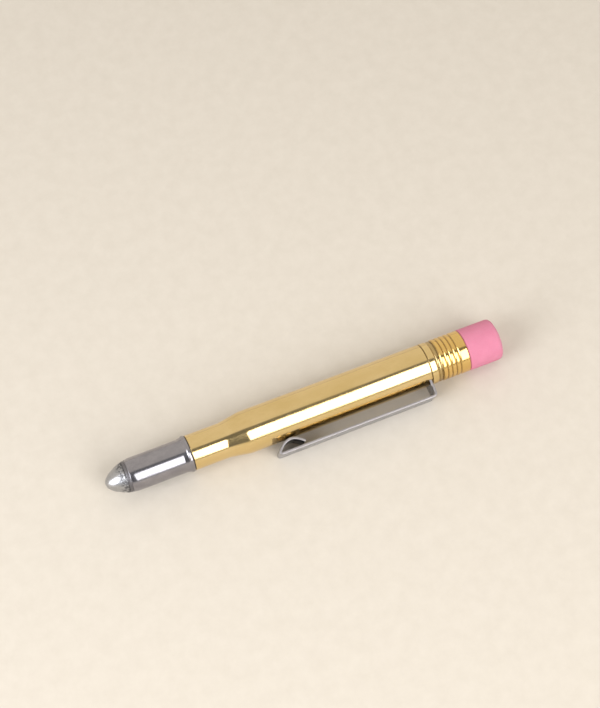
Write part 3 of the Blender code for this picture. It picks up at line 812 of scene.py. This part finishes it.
# ---------------------------------------------------------------- floor, light and camera
def made_floor():
    shape = bmesh.new()
    bmesh.ops.create_grid(shape, x_segments=1, y_segments=1, size=1.5)
    floor = finished("studio_floor", shape)
    floor.location = (0.0, 0.0, 0.0)
    p = Paint("studio_floor", (0.62, 0.57, 0.50), 0.0, 0.85, Specular_IOR_Level=0.15)
    fibre = p.noise(p.mm, 0.25, 5.0, 0.65)
    p.use("Base Color", p.mix(p.range(fibre, 0.3, 0.75), (0.64, 0.59, 0.52), (0.60, 0.55, 0.48)))
    p.bump(p.noise(p.mm, 1.4, 4.0, 0.6), 0.25, 0.05)
    floor.data.materials.append(p.material)
    return floor


made_floor()


def softbox(name, direction, distance, size, power, colour, target=(0.0, 0.0, 0.005)):
    data = bpy.data.lights.new(name, "AREA")
    data.shape, data.size, data.size_y = "RECTANGLE", size[0], size[1]
    data.energy, data.color = power, colour
    light = bpy.data.objects.new(name, data)
    bpy.context.scene.collection.objects.link(light)
    way = Vector(direction).normalized()
    across = Vector((0, 0, 1)).cross(way)
    across = across.normalized() if across.length > 1e-4 else Vector((1, 0, 0))
    matrix = Matrix((across, way.cross(across), way)).transposed().to_4x4()
    matrix.translation = Vector(target) + way * distance
    light.matrix_world = matrix
    light.visible_camera = False
    return light


def towards(azimuth_x, elevation):
    """A direction with a share along X and an elevation, on the viewer's side."""
    e = math.radians(elevation)
    flat = math.sqrt(max(0.0, 1 - azimuth_x**2))
    return Vector((azimuth_x, -math.cos(e) * flat, math.sin(e) * flat))


softbox("key", towards(0.275, 40.5), 0.75, (0.55, 0.66), 4.9, (1.0, 0.99, 0.975))
softbox("left", Vector((-0.84, -0.24, 0.49)), 0.70, (0.38, 0.50), 4.4, (0.95, 0.97, 1.0))

# The room: bright and warm above and behind, dim on the viewer's side, where the lamps stand.
world = bpy.data.worlds.new("studio")
world.use_nodes = True
tree = world.node_tree
ray = tree.nodes.new("ShaderNodeTexCoord").outputs["Generated"]
behind = tree.nodes.new("ShaderNodeVectorMath")
behind.operation = "DOT_PRODUCT"
behind.inputs[1].default_value = (0.0, 0.990, 0.139)
tree.links.new(ray, behind.inputs[0])
fade = tree.nodes.new("ShaderNodeMapRange")
fade.interpolation_type = "SMOOTHSTEP"
fade.inputs[1].default_value, fade.inputs[2].default_value = -0.05, 0.07
tree.links.new(behind.outputs["Value"], fade.inputs[0])
height = tree.nodes.new("ShaderNodeSeparateXYZ")
tree.links.new(ray, height.inputs[0])
low = tree.nodes.new("ShaderNodeMapRange")
low.interpolation_type = "SMOOTHSTEP"
low.inputs[1].default_value, low.inputs[2].default_value = 0.24, 0.10
tree.links.new(height.outputs[2], low.inputs[0])
either = tree.nodes.new("ShaderNodeMath")
either.operation = "MAXIMUM"
tree.links.new(fade.outputs[0], either.inputs[0])
tree.links.new(low.outputs[0], either.inputs[1])
sky = tree.nodes.new("ShaderNodeMix")
sky.data_type = "RGBA"
sky.inputs[6].default_value = (0.20, 0.20, 0.20, 1.0)
sky.inputs[7].default_value = (0.85, 0.79, 0.70, 1.0)
tree.links.new(either.outputs[0], sky.inputs[0])
tree.links.new(sky.outputs[2], tree.nodes["Background"].inputs[0])
bpy.context.scene.world = world
bpy.context.scene.view_settings.view_transform = "Standard"

ELEVATION, TURN, DISTANCE = math.radians(60.93), math.radians(22.93), 0.480
forward = Vector(
    (math.cos(ELEVATION) * math.sin(TURN), math.cos(ELEVATION) * math.cos(TURN), -math.sin(ELEVATION))
)
right = Vector((math.cos(TURN), -math.sin(TURN), 0.0))
up = right.cross(forward)
target = Vector((5.272, AXIS_Y + 15.24, AXIS_Z - 0.31)) * MM
camera_data = bpy.data.cameras.new("camera")
camera_data.lens, camera_data.sensor_width = 96.63, 36.0
camera_data.clip_start, camera_data.clip_end = 0.01, 20.0
camera = bpy.data.objects.new("camera", camera_data)
bpy.context.scene.collection.objects.link(camera)
pose = Matrix((right, up, -forward)).transposed().to_4x4()
pose.translation = target - forward * DISTANCE
camera.matrix_world = pose
bpy.context.scene.camera = camera

bpy.context.view_layer.update()
